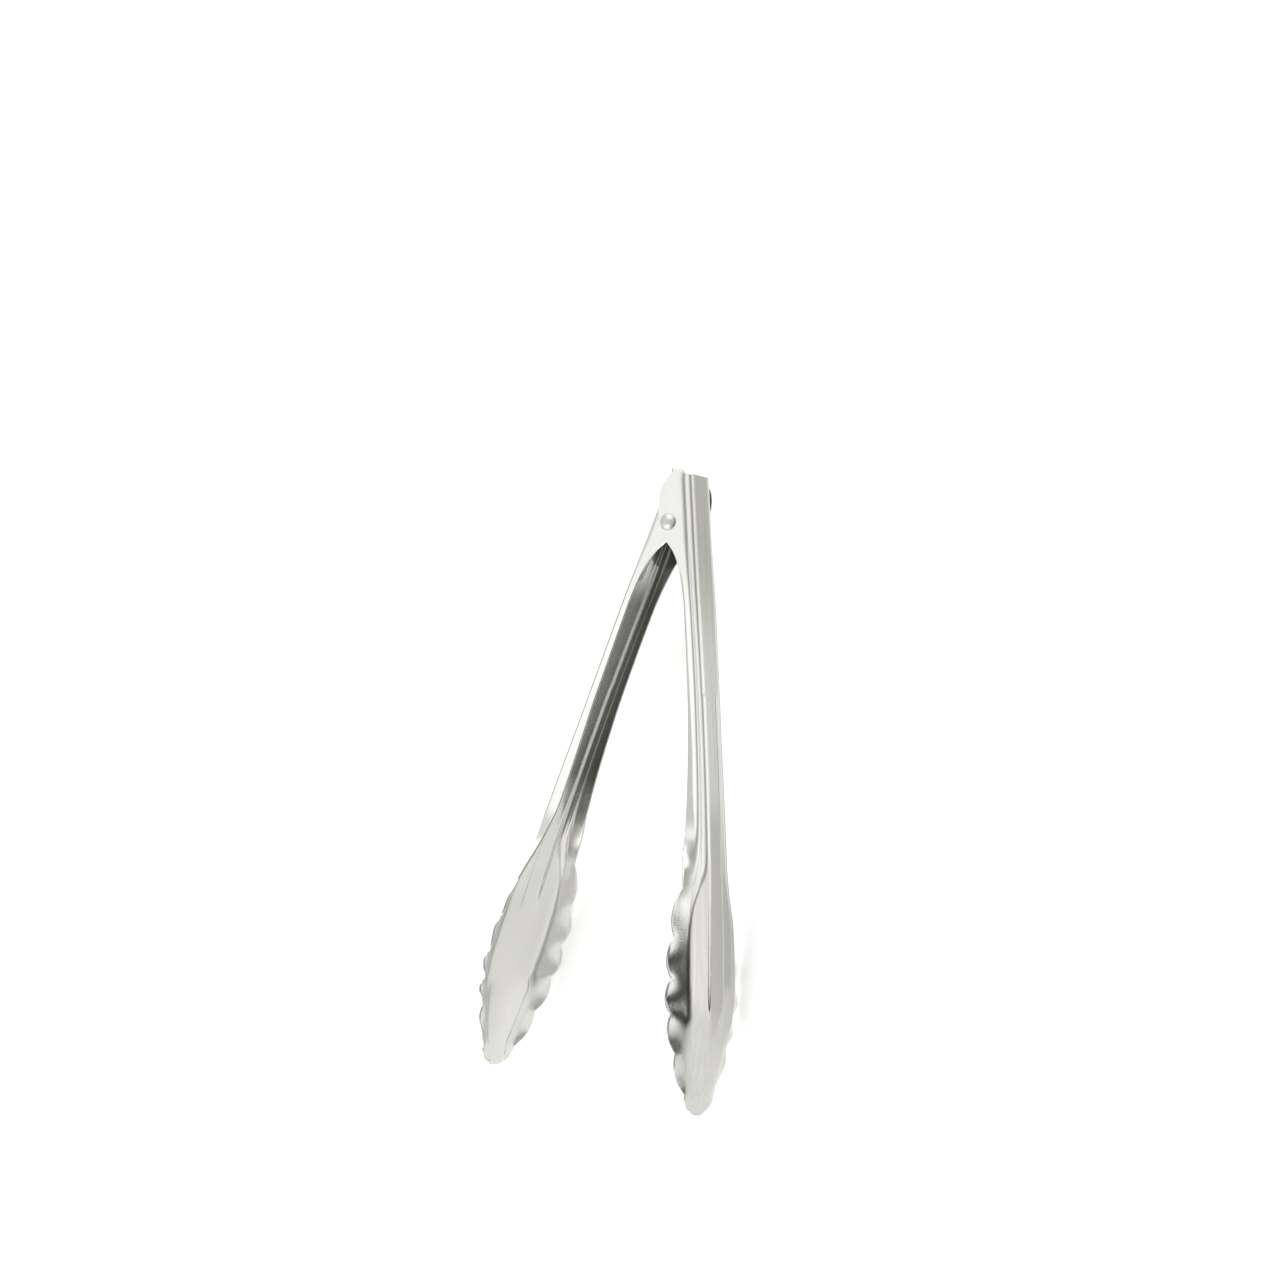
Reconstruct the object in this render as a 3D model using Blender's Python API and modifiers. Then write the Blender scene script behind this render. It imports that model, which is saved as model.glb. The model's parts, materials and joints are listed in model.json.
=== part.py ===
"""Spring loaded kitchen tongs: two stamped steel arms, a rivet and a torsion spring.

The two arms are the same stamping, the left one turned half a turn about the tongs' long axis.
Each arm is a channel with a raised panel along its back. At the hinge its flanges widen into
two ears. The arms stand a sheet's thickness apart along the rivet, so that one ear of each is
outside the other arm's ear and one is inside it. At the other end the channel opens
into a scoop with scalloped wings. A round-headed rivet holds the four ears, and a coil spring
on the rivet pushes the arms apart.

The tongs lie on their side: +Z is the rivet's axis, +Y points to the hinge end, the right arm
is at +X, and the origin is at the middle of the box's bottom.

An arm is drawn in its own frame, in millimetres: q runs from the rivet towards the tip, u is
outward from the rivet to the channel's back, and z is across the channel.
"""
import math

import bmesh
import bpy
from mathutils import Matrix, Vector

MM = 0.001

# Driving dimensions, in millimetres and degrees
SHEET = 0.8               # thickness of the steel sheet
TOUCH_GAP = 0.3           # gap left between pieces that touch
HALF_OPENING = 13.0       # each arm's angle from the middle line, fully open
EAR_TOP = -18.9           # top of the ears, above the rivet
WEB_DROP = 2.4            # the web's end is this far below the outer ear's top
WEB_TILT = 0.44           # and slants up towards the inner ear by this share of it, each way
HALF_WIDTH = 8.6          # half the channel's width at the rivet
OFFSET = (SHEET + TOUCH_GAP) / 2  # each arm stands this far to its own side along the rivet
EAR_BOTTOM = 14.0         # the ears run into the handle's flanges here, below the rivet
STOP_DISTANCE = 6.8       # from the rivet's axis to the inner ear's straight stop edge
TIP = 211.0               # rivet to tip
CORNER = 1.7              # setback of the rounded corner in the handle
SCOOP_CORNER = 1.5        # and in the scoop
RISER = 0.8               # width of the slope beside the raised panel

RIVET_RADIUS = 2.0        # the shank
RIVET_HEAD_RADIUS = 3.05
RIVET_HEAD_HEIGHT = 2.0
PEEN_RADIUS = 2.9         # the head formed on the rivet's other end
PEEN_HEIGHT = 1.2

WIRE_RADIUS = 0.75
COIL_RADIUS = 4.6         # to the middle of the wire
COIL_TURNS = 4.5
COIL_PITCH = 1.75
LEG_REACH = 24.0          # the legs end this far below the rivet
LEG_END_Z = 3.0           # and this far from the middle of its length

# Scallops: where the notches between the lobes are, and how far they lead on one wing and lag
# on the other
NOTCHES = (137.5, 152.8, 167.0, 178.5, 189.8, 204.6)
STAGGER = (3.9, 2.65, 2.35, 1.55, -0.5, 0.2)
LOBE_HEIGHT = 2.1
LOBE_CUP = 0.3            # how far the middle of a lobe's edge bends outward
LOBE_ROUNDNESS = 0.8
WING_START = 112.0
WING_SAG = 0.12           # hollow of a wing between its crease and its edge
WING_FORMED = 145.0       # the crease and the hollow have their full shape from here
BOWL_START = 178.0        # from here the creases fade into a bowl that ends in the tip
BOWL_LENGTH = 6.0
BOWL_SHOULDER = 0.7       # share of the bowl's half width that is drawn as its back
CAP_LENGTH = TIP - NOTCHES[-1] - 0.4

# Stations along the arm: (q, value) pairs, joined smoothly
SPINE = ((-19, 8.0), (0, 8.3), (20, 8.7), (44, 9.3), (66, 9.7), (95, 9.9), (122, 9.75),
         (140, 9.5), (154, 9.15), (167, 8.6), (178, 7.6), (190, 5.7), (198, 3.9), (205, 1.8),
         (211, -0.7))
SHOULDER_Z = ((EAR_BOTTOM, HALF_WIDTH), (25, 8.5), (42, 8.25), (62, 8.1), (82, 8.2), (101, 8.6),
              (112, 8.9), (124, 9.2), (133, 10.3), (143, 12.5), (153, 13.1), (167, 13.3),
              (178, 12.5), (190, 10.4), (198, 8.1), (205, 5.7))
SHOULDER_DROP = ((112, 0.0), (124, 0.2), (143, 0.7), (154, 0.9), (167, 0.9), (178, 0.9),
                 (190, 0.8), (205, 0.6), (211, 0.2))
WING_EDGE_Z = ((90, 8.3), (101, 8.65), (112, 9.4), (122, 11.5), (138, 15.3), (153, 19.1),
               (167, 20.3), (178, 19.4), (190, 15.6), (198, 12.2), (205, 8.8))
EAR_EDGE = ((-18.9, 4.9), (-18.3, 3.3), (-17.4, 1.5), (-15.8, -0.5), (-13.8, -1.9),
            (-11.5, -3.0), (-8.5, -3.7), (-5.5, -4.0), (-2.5, -3.8), (0.5, -3.3), (3.5, -2.4),
            (6.5, -1.2), (11.3, 1.9), (16, 3.6), (25, 5.2), (34, 5.8), (55, 6.0), (66, 6.0),
            (84, 5.5), (102, 4.7), (112, 4.2), (122, 4.4), (133, 5.8), (138, 6.2), (153, 4.9),
            (167, 4.0), (178, 2.7), (190, 1.6), (198, 0.9), (205, 0.2), (211, -0.9))
PANEL_HALF = ((-19, 5.9), (0, 5.7), (15, 5.3), (44, 4.8), (60, 4.5), (66, 3.3), (95, 3.4),
              (124, 3.55), (140, 3.9), (155, 4.1), (168, 4.0), (176, 3.3), (181, 2.0))
PANEL_HEIGHT = ((166, 0.8), (174, 0.6), (181, 0.0))

# Rows of the arm's mesh from the ears' top to the first notch
HANDLE_ROWS = (-18.9, -18.3, -17.4, -15.8, -13.8, -11.5, -8.5, -5.5, -2.5, 0.5, 3.5, 6.5, 9.3,
               11.3, 13.3, 16, 20, 25, 34, 47, 60, 66, 80, 95, 104, 112, 118, 124, 129, 133.5)
ROWS_PER_LOBE = 5
CAP_ANGLES = (22, 42, 60)  # degrees round the tip's rounded end
WING_COLUMNS = 3

HOLE_SIDES = 28
ROUND_STEPS = 28
COIL_STEPS = 14            # per turn
LEG_STEPS = 7


# ---------------------------------------------------------------- helpers

def clear_scene():
    for obj in list(bpy.data.objects):
        bpy.data.objects.remove(obj)


def along(stations, q):
    """The value at q on a smooth curve through the stations, flat beyond its ends."""
    if q <= stations[0][0]:
        return stations[0][1]
    if q >= stations[-1][0]:
        return stations[-1][1]
    i = max(k for k in range(len(stations) - 1) if stations[k][0] <= q)
    (q0, y0), (q1, y1) = stations[i], stations[i + 1]
    t = (q - q0) / (q1 - q0)
    m0 = slope_at(stations, i) * (q1 - q0)
    m1 = slope_at(stations, i + 1) * (q1 - q0)
    return ((2 * t ** 3 - 3 * t ** 2 + 1) * y0 + (t ** 3 - 2 * t ** 2 + t) * m0
            + (3 * t ** 2 - 2 * t ** 3) * y1 + (t ** 3 - t ** 2) * m1)


def slope_at(stations, i):
    """The curve's slope at station i, which never makes it overshoot its stations."""
    if i == 0 or i == len(stations) - 1:
        return 0.0
    before = (stations[i][1] - stations[i - 1][1]) / (stations[i][0] - stations[i - 1][0])
    after = (stations[i + 1][1] - stations[i][1]) / (stations[i + 1][0] - stations[i][0])
    if before * after <= 0:
        return 0.0
    return 2 * before * after / (before + after)


def smoothstep(low, high, q):
    t = min(max((q - low) / (high - low), 0.0), 1.0)
    return t * t * (3 - 2 * t)


def material(name, colour, roughness, metallic):
    mat = bpy.data.materials.new(name)
    mat.use_nodes = True
    shader = mat.node_tree.nodes["Principled BSDF"]
    shader.inputs["Base Color"].default_value = (*colour, 1.0)
    shader.inputs["Roughness"].default_value = roughness
    shader.inputs["Metallic"].default_value = metallic
    return mat


def add_object(name, data, collection, mat=None):
    obj = bpy.data.objects.new(name, data)
    collection.objects.link(obj)
    if mat:
        data.materials.append(mat)
    return obj


# ---------------------------------------------------------------- the arm's shape

def cap_factor(q):
    """The tip's last stretch is a half ellipse: 1 where it starts, 0 at the tip."""
    x = min(max((q - NOTCHES[-1]) / CAP_LENGTH, 0.0), 1.0)
    return math.sqrt(max(1 - x * x, 0.0))


def lobe_phase(q):
    """0 at a notch to 1 at the next one, or None outside the scallops."""
    for start, end in zip(NOTCHES, NOTCHES[1:]):
        if start < q < end:
            return (q - start) / (end - start)
    return None


def edge_depth(q, inner):
    """The free edge's u. The inner ear is cut straight where it stops the other arm's web."""
    u = along(EAR_EDGE, q)
    if inner and q < EAR_BOTTOM:
        spread = math.radians(2 * HALF_OPENING)
        stop = -(STOP_DISTANCE + q * math.sin(spread)) / math.cos(spread)
        return max(u, stop)
    return u


def half_section(q, inner):
    """The outer surface from the middle of the back to one free edge, as (u, z) points."""
    cap = cap_factor(q)
    spine = along(SPINE, q)
    drop = along(SHOULDER_DROP, q)
    shoulder = along(SHOULDER_Z, q) * cap
    edge_z = max(along(WING_EDGE_Z, q) * cap, shoulder) if q > WING_EDGE_Z[0][0] else shoulder
    edge_u = edge_depth(q, inner)
    bowl = smoothstep(BOWL_START, BOWL_START + BOWL_LENGTH, q)
    shoulder += (BOWL_SHOULDER * edge_z - shoulder) * bowl
    drop += (BOWL_SHOULDER ** 2 * (spine - edge_u) - drop) * bowl
    panel = min(along(PANEL_HALF, q), 0.45 * shoulder)
    riser = min(RISER, 0.15 * shoulder)
    height = along(PANEL_HEIGHT, q)

    corner = (spine - drop, shoulder)
    wing = Vector((edge_u - corner[0], edge_z - corner[1]))
    length = wing.length
    wing.normalize()
    outward = Vector((wing.y, -wing.x))
    setback = CORNER + (SCOOP_CORNER - CORNER) * smoothstep(WING_START, WING_FORMED, q)
    setback = min(setback, 0.4 * length, 0.35 * shoulder)
    phase = lobe_phase(q)
    lobe = math.sin(math.pi * phase) if phase else 0.0
    reach = length + LOBE_HEIGHT * lobe ** LOBE_ROUNDNESS
    sag = WING_SAG * smoothstep(WING_START, WING_FORMED, q) * (1 - bowl)

    def back(z, lift=0.0):
        return (spine - drop * (z / shoulder) ** 2 + lift, z)

    ledge_end = back(shoulder - setback)
    wing_start = (corner[0] + wing.x * setback, corner[1] + wing.y * setback)
    points = [back(0, height), back(panel, height), back(panel + riser), ledge_end]
    for t in (1 / 3, 2 / 3):
        points.append(tuple((1 - t) ** 2 * a + 2 * t * (1 - t) * b + t ** 2 * c
                            for a, b, c in zip(ledge_end, corner, wing_start)))
    points.append(wing_start)
    for k in range(1, WING_COLUMNS + 1):
        share = k / WING_COLUMNS
        distance = setback + (reach - setback) * share
        cup = LOBE_CUP * lobe * share ** 2 - sag * 4 * share * (1 - share)
        points.append((corner[0] + wing.x * distance + outward.x * cup,
                       corner[1] + wing.y * distance + outward.y * cup))
    return points


def stagger_at(q):
    marks = ((WING_START, 0.0), *zip(NOTCHES, STAGGER), (TIP, 0.0))
    for (q0, a), (q1, b) in zip(marks, marks[1:]):
        if q0 <= q <= q1:
            return a + (b - a) * (q - q0) / (q1 - q0)
    return 0.0


def arm_rows():
    rows = list(HANDLE_ROWS)
    for start, end in zip(NOTCHES, NOTCHES[1:]):
        rows += [start + (end - start) * k / ROWS_PER_LOBE for k in range(ROWS_PER_LOBE)]
    rows.append(NOTCHES[-1])
    rows += [NOTCHES[-1] + CAP_LENGTH * math.sin(math.radians(a)) for a in CAP_ANGLES]
    return rows


def row_points(q, last):
    """One row of the arm's outer surface, from the outer ear's side to the inner ear's."""
    points = []
    for side in (1, -1):
        half = half_section(q, side < 0)
        count = len(half) - 1
        for k, (u, z) in enumerate(half):
            if side < 0 and k == 0:
                continue
            across = k / count
            tilt = 1 - WEB_TILT * (1 - side * min(2 * across, 1))
            web_end = (WEB_DROP * tilt * max(1 - (q - EAR_TOP) / 6, 0)
                       * (1 - smoothstep(0.4, 0.65, across)))
            s = q + web_end - side * stagger_at(q) * smoothstep(0.2, 0.8, across)
            if last:
                s += (TIP - q) * (1 - across ** 2)
            points.append((side * k, Vector((u, -s, side * z + OFFSET)) * MM))
    points.sort(key=lambda item: -item[0])
    return [point for _, point in points]


def arm_mesh():
    """The arm's outer surface as a grid, with +X outward, +Y to the hinge end and +Z across."""
    bm = bmesh.new()
    rows = arm_rows()
    grid = []
    for q in rows:
        grid.append([bm.verts.new(p) for p in row_points(q, q == rows[-1])])
    for upper, lower in zip(grid, grid[1:]):
        for k in range(len(upper) - 1):
            bm.faces.new((upper[k], upper[k + 1], lower[k + 1], lower[k]))
    bmesh.ops.recalc_face_normals(bm, faces=bm.faces)
    row = grid[len(grid) // 2]
    middle = row[len(row) // 2]
    if middle.link_faces[0].normal.x < 0:
        bmesh.ops.reverse_faces(bm, faces=bm.faces)
    mesh = bpy.data.meshes.new("arm_stamping")
    bm.to_mesh(mesh)
    bm.free()
    mesh.shade_smooth()
    return mesh


def rivet_hole_cutter(collection):
    bm = bmesh.new()
    bmesh.ops.create_cone(bm, cap_ends=True, segments=HOLE_SIDES, depth=4 * HALF_WIDTH * MM,
                          radius1=(RIVET_RADIUS + TOUCH_GAP) * MM,
                          radius2=(RIVET_RADIUS + TOUCH_GAP) * MM)
    mesh = bpy.data.meshes.new("rivet_hole")
    bm.to_mesh(mesh)
    bm.free()
    cutter = add_object("rivet_hole", mesh, collection)
    cutter.hide_render = True
    cutter.display_type = "WIRE"
    return cutter


def make_arm(name, mesh, turn, cutter, collection, pivot):
    arm = add_object(name, mesh, collection)
    arm.parent = pivot
    arm.matrix_local = turn
    shell = arm.modifiers.new("sheet", "SOLIDIFY")
    shell.thickness = SHEET * MM
    shell.offset = -1
    shell.use_even_offset = True
    hole = arm.modifiers.new("rivet_hole", "BOOLEAN")
    hole.operation = "DIFFERENCE"
    hole.solver = "EXACT"
    hole.object = cutter
    return arm


# ---------------------------------------------------------------- rivet and spring

def arc(centre, radius_x, radius_z, start, end, steps):
    """Points (r, z) on an elliptical arc, from start to end degrees."""
    points = []
    for k in range(steps + 1):
        a = math.radians(start + (end - start) * k / steps)
        points.append((centre[0] + radius_x * math.cos(a), centre[1] + radius_z * math.sin(a)))
    return points


def make_rivet(collection, mat, pivot):
    """A solid turned about the hinge axis: domed head, shank, and peened tail."""
    seat = HALF_WIDTH + OFFSET + TOUCH_GAP
    profile = arc((0, seat + 0.3), RIVET_HEAD_RADIUS, RIVET_HEAD_HEIGHT - 0.3, 90, 0, 6)
    profile += [(RIVET_HEAD_RADIUS - 0.15, seat), (RIVET_RADIUS, seat), (RIVET_RADIUS, -seat)]
    profile += [(PEEN_RADIUS, -seat)]
    profile += arc((0, -seat - 0.3), PEEN_RADIUS, PEEN_HEIGHT - 0.3, 0, -90, 4)
    mesh = bpy.data.meshes.new("pivot_rivet")
    verts = [(max(r, 0.0) * MM, 0.0, z * MM) for r, z in profile]
    verts[0] = (0.0, 0.0, verts[0][2])
    verts[-1] = (0.0, 0.0, verts[-1][2])
    mesh.from_pydata(verts, [(i, i + 1) for i in range(len(verts) - 1)], [])
    rivet = add_object("pivot_rivet", mesh, collection, mat)
    rivet.parent = pivot
    screw = rivet.modifiers.new("turned", "SCREW")
    screw.axis = "Z"
    screw.steps = ROUND_STEPS
    screw.render_steps = ROUND_STEPS
    screw.use_merge_vertices = True
    screw.merge_threshold = 0.00001
    return rivet


def leg_tip_u():
    """How far out a leg's tip is: the wire all but touches the inside of the raised panel."""
    panel_inside = along(SPINE, LEG_REACH) + along(PANEL_HEIGHT, LEG_REACH) - SHEET
    return panel_inside - TOUCH_GAP - WIRE_RADIUS


def leg_points(side, coil_end):
    """A leg's straight run, from the coil's tangent point to its tip inside one arm's web."""
    tilt = math.radians(HALF_OPENING) * side
    tip = Matrix.Rotation(tilt, 3, "Z") @ Vector((side * leg_tip_u(), -LEG_REACH, 0))
    run = []
    for k in range(1, LEG_STEPS + 1):
        t = k / LEG_STEPS
        point = coil_end.lerp(Vector((tip.x, tip.y, 0)), t)
        point.z = coil_end.z + (math.copysign(LEG_END_Z, coil_end.z) - coil_end.z) * t
        run.append(point)
    return run


def tangent_angle(side):
    """The angle on the coil, from +X, at which a straight leg reaches its tip in the web."""
    distance = math.hypot(leg_tip_u(), LEG_REACH)
    direction = math.atan2(LEG_REACH, leg_tip_u()) - math.radians(HALF_OPENING)
    angle = direction - math.acos(COIL_RADIUS / distance)
    return -angle if side > 0 else math.pi + angle


def make_spring(collection, mat, pivot):
    """A torsion coil about the rivet, with one leg along the inside of each arm."""
    start = tangent_angle(1)
    end = tangent_angle(-1) + 2 * math.pi * int(COIL_TURNS)
    turns = (end - start) / (2 * math.pi)
    half_height = turns * COIL_PITCH / 2
    steps = int(turns * COIL_STEPS)
    coil = []
    for k in range(steps + 1):
        t = k / steps
        a = start + (end - start) * t
        coil.append(Vector((COIL_RADIUS * math.cos(a), COIL_RADIUS * math.sin(a),
                            half_height * (2 * t - 1))))
    path = list(reversed(leg_points(1, coil[0]))) + coil + leg_points(-1, coil[-1])
    curve = bpy.data.curves.new("torsion_spring", "CURVE")
    curve.dimensions = "3D"
    curve.bevel_depth = WIRE_RADIUS * MM
    curve.bevel_resolution = 2
    curve.use_fill_caps = True
    spline = curve.splines.new("POLY")
    spline.points.add(len(path) - 1)
    for point, place in zip(spline.points, path):
        point.co = (*(place * MM), 1.0)
    spring = add_object("torsion_spring", curve, collection, mat)
    spring.parent = pivot
    return spring


# ---------------------------------------------------------------- assembly

def set_down(pivot, pieces):
    """Moves the whole assembly so that the origin is at the middle of its box's bottom."""
    bpy.context.view_layer.update()
    graph = bpy.context.evaluated_depsgraph_get()
    corners = []
    for piece in pieces:
        solid = piece.evaluated_get(graph)
        shape = solid.to_mesh()
        corners += [solid.matrix_world @ v.co for v in shape.vertices]
        solid.to_mesh_clear()
    low = [min(c[i] for c in corners) for i in range(3)]
    high = [max(c[i] for c in corners) for i in range(3)]
    pivot.location = (-(low[0] + high[0]) / 2, -(low[1] + high[1]) / 2, -low[2])


def main():
    clear_scene()
    tongs = bpy.data.collections.new("kitchen_tongs")
    cutters = bpy.data.collections.new("cutters")
    for collection in (tongs, cutters):
        bpy.context.scene.collection.children.link(collection)

    steel = material("stamped_steel", (0.62, 0.61, 0.58), 0.28, 1.0)
    rivet_steel = material("rivet_steel", (0.58, 0.57, 0.54), 0.3, 1.0)
    spring_steel = material("spring_steel", (0.42, 0.41, 0.4), 0.35, 1.0)

    pivot = bpy.data.objects.new("pivot", None)
    tongs.objects.link(pivot)
    cutter = rivet_hole_cutter(cutters)
    cutter.parent = pivot

    stamping = arm_mesh()
    stamping.materials.append(steel)
    open_right = Matrix.Rotation(math.radians(HALF_OPENING), 4, "Z")
    half_turn = Matrix.Rotation(math.pi, 4, "Y")
    right = make_arm("arm_right", stamping, open_right, cutter, tongs, pivot)
    left = make_arm("arm_left", stamping, half_turn @ open_right, cutter, tongs, pivot)
    rivet = make_rivet(tongs, rivet_steel, pivot)
    spring = make_spring(tongs, spring_steel, pivot)
    set_down(pivot, (right, left, rivet, spring))


main()
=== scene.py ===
"""Spring loaded kitchen tongs on a plain pale floor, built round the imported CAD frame."""

import bmesh
import bpy
import json
import math
import numpy as np
from mathutils import Matrix, Vector


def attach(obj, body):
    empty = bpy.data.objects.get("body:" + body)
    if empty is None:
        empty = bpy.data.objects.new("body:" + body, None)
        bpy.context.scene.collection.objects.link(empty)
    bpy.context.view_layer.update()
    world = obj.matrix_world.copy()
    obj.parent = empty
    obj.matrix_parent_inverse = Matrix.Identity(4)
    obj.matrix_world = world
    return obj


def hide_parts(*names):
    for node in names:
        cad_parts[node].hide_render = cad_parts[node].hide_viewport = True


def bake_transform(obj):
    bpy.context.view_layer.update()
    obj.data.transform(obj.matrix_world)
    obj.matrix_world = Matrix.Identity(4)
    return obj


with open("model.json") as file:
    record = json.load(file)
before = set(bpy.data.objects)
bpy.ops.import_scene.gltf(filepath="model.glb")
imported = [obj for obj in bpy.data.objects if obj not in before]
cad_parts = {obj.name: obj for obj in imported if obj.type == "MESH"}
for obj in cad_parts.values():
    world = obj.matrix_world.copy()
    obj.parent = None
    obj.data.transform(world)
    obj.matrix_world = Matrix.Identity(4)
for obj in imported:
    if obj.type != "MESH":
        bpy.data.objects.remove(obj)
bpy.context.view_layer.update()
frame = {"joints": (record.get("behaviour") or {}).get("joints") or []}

MM = 0.001
PIVOT = Vector(frame["joints"][0]["pos_m"])

# The stamping, in mm. q runs from the rivet towards the tip, u outward from the tongs'
# middle plane, z across the arm along the rivet. A table of pairs gives a value at each q.
SHEET = 0.8
HALF_OPENING = 13.0         # degrees
HALF_WIDTH = 8.6
OFFSET = 0.55
EAR_TOP = -18.9
EAR_BOTTOM = 14.0
STOP_DISTANCE = 6.8
WEB_DROP = 2.4              # how far the web's top end is cut back from the ears
WEB_DROP_LENGTH = 6.0
WEB_TILT = 0.44
TIP = 211.0
CORNER = 1.7
SCOOP_CORNER = 1.5
EAR_ROUNDING = 2.4
EAR_ROUNDING_FADES = (5, 45)
LEDGE_CROWN = 0.12
CROWN_STARTS = (4, 30)
CROWN_ENDS = (118, 140)
RISER = 0.8
NOTCHES = (137.5, 152.8, 167.0, 178.5, 189.8, 204.6)
STAGGER = (3.9, 2.65, 2.35, 1.55, -0.5, 0.2)
LOBE_HEIGHT = 2.1
LOBE_WAVE = 0.5             # how far a scallop's edge swings out and in
WING_SAG = 0.12
LOBE_ROUNDNESS = 0.8
WING_START = 112.0
WING_FORMED = 145.0
BOWL_START = 178.0
BOWL_LENGTH = 6.0
BOWL_SHOULDER = 0.7
CAP_LENGTH = TIP - NOTCHES[-1] - 0.4

# The most that a zone of the section may take up where the arm is narrow.
PANEL_OF_SHOULDER = 0.45
RISER_OF_SHOULDER = 0.15
CORNER_OF_SHOULDER = 0.35
CORNER_OF_WING = 0.4
EAR_CORNER_OF_WING = 0.5
RISER_BLEND = 0.35

SPINE = ((-19, 8.0), (0, 8.3), (20, 8.7), (44, 9.3), (66, 9.7), (95, 9.9), (122, 9.75),
         (140, 9.5), (154, 9.15), (167, 8.6), (178, 7.6), (190, 5.7), (198, 3.9), (205, 1.8),
         (211, -0.7))
SHOULDER_Z = ((EAR_BOTTOM, HALF_WIDTH), (25, 8.5), (42, 8.25), (62, 8.1), (82, 8.2), (101, 8.6),
              (112, 8.9), (124, 9.2), (133, 10.3), (143, 12.5), (153, 13.1), (167, 13.3),
              (178, 12.5), (190, 10.4), (198, 8.1), (205, 5.7))
SHOULDER_DROP = ((112, 0.0), (124, 0.2), (143, 0.7), (154, 0.9), (167, 0.9), (178, 0.9),
                 (190, 0.8), (205, 0.6), (211, 0.2))
WING_EDGE_Z = ((90, 8.3), (101, 8.65), (112, 9.4), (122, 11.5), (138, 15.3), (153, 19.1),
               (167, 20.3), (178, 19.4), (190, 15.6), (198, 12.2), (205, 8.8))
EAR_EDGE = ((-18.9, 4.9), (-18.3, 3.3), (-17.4, 1.5), (-15.8, -0.5), (-13.8, -1.9),
            (-11.5, -3.0), (-8.5, -3.7), (-5.5, -4.0), (-2.5, -3.8), (0.5, -3.3), (3.5, -2.4),
            (6.5, -1.2), (11.3, 1.9), (16, 3.6), (25, 5.2), (34, 5.8), (55, 6.0), (66, 6.0),
            (84, 5.5), (102, 4.7), (112, 4.2), (122, 4.4), (133, 5.8), (138, 6.2), (153, 4.9),
            (167, 4.0), (178, 2.7), (190, 1.6), (198, 0.9), (205, 0.2), (211, -0.9))
PANEL_HALF = ((-19, 5.9), (0, 5.7), (15, 5.3), (44, 4.8), (60, 4.5), (66, 3.3), (95, 3.4),
              (124, 3.55), (140, 3.9), (155, 4.1), (168, 4.0), (176, 3.3), (181, 2.0))
PANEL_HEIGHT = ((166, 0.8), (174, 0.6), (181, 0.0))
STEP_SOFTENS_INSIDE = (138, 158)    # where the panel's step fades out of the inner skin

RIVET_RADIUS = 2.0
RIVET_HEAD_RADIUS = 3.05
RIVET_HEAD_HEIGHT = 2.0
PEEN_RADIUS = 2.9
PEEN_HEIGHT = 1.2
HOLE_RADIUS = 2.3
TOUCH_GAP = 0.3

WIRE_RADIUS = 0.75
COIL_RADIUS = 4.6
COIL_TURNS = 4.5
COIL_PITCH = 1.75
LEG_REACH = 24.0
LEG_END_Z = 3.0
COIL_STEPS = 40             # per turn
LEG_STEPS = 24
WIRE_SIDES = 16


# ---------------------------------------------------------------- curves through stations

def along(stations, q):
    """The value at q on a smooth curve through the stations, flat beyond its ends."""
    if q <= stations[0][0]:
        return stations[0][1]
    if q >= stations[-1][0]:
        return stations[-1][1]
    i = max(k for k in range(len(stations) - 1) if stations[k][0] <= q)
    (q0, y0), (q1, y1) = stations[i], stations[i + 1]
    t = (q - q0) / (q1 - q0)
    m0 = slope_at(stations, i) * (q1 - q0)
    m1 = slope_at(stations, i + 1) * (q1 - q0)
    return ((2 * t ** 3 - 3 * t ** 2 + 1) * y0 + (t ** 3 - 2 * t ** 2 + t) * m0
            + (3 * t ** 2 - 2 * t ** 3) * y1 + (t ** 3 - t ** 2) * m1)


def slope_at(stations, i):
    if i == 0 or i == len(stations) - 1:
        return 0.0
    before = (stations[i][1] - stations[i - 1][1]) / (stations[i][0] - stations[i - 1][0])
    after = (stations[i + 1][1] - stations[i][1]) / (stations[i + 1][0] - stations[i][0])
    if before * after <= 0:
        return 0.0
    return 2 * before * after / (before + after)


def smoothstep(low, high, q):
    t = min(max((q - low) / (high - low), 0.0), 1.0)
    return t * t * (3 - 2 * t)


# ---------------------------------------------------------------- the arm's surface

PANEL_COLUMNS = 5
RISER_COLUMNS = 8
LEDGE_COLUMNS = 8
CORNER_COLUMNS = 9
WING_COLUMNS = 16

# Shares of the section over which the web's cut-back top ends and the scallops' stagger begins.
WEB_DROP_SHARES = (0.4, 0.65)
STAGGER_SHARES = (0.2, 0.8)

# Shares from which the inner skin lies square to the web instead of to the surface.
FLAT_BACK = (0.42, 0.34)

# Runs of rows above the scallops: start, end and spacing, in mm.
ROW_RUNS = ((EAR_TOP, -13, 0.45), (-13, 30, 0.85), (30, 58, 1.6), (58, 70, 0.6), (70, 112, 1.6),
            (112, NOTCHES[0], 1.0))
LOBE_SPACING = 0.6
CAP_ANGLES = range(0, 61, 6)
HANDLE_ROW = 60

RIM_STEPS = 6
RIM_PROUD = 0.75            # how far the rounded rim stands out, as a part of half the sheet


def cap_factor(q):
    x = min(max((q - NOTCHES[-1]) / CAP_LENGTH, 0.0), 1.0)
    return math.sqrt(max(1 - x * x, 0.0))


def lobe_phase(q):
    for start, end in zip(NOTCHES, NOTCHES[1:]):
        if start < q < end:
            return (q - start) / (end - start)
    return None


def edge_depth(q, inner):
    u = along(EAR_EDGE, q)
    if inner and q < EAR_BOTTOM:
        spread = math.radians(2 * HALF_OPENING)
        stop = -(STOP_DISTANCE + q * math.sin(spread)) / math.cos(spread)
        return max(u, stop)
    return u


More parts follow.
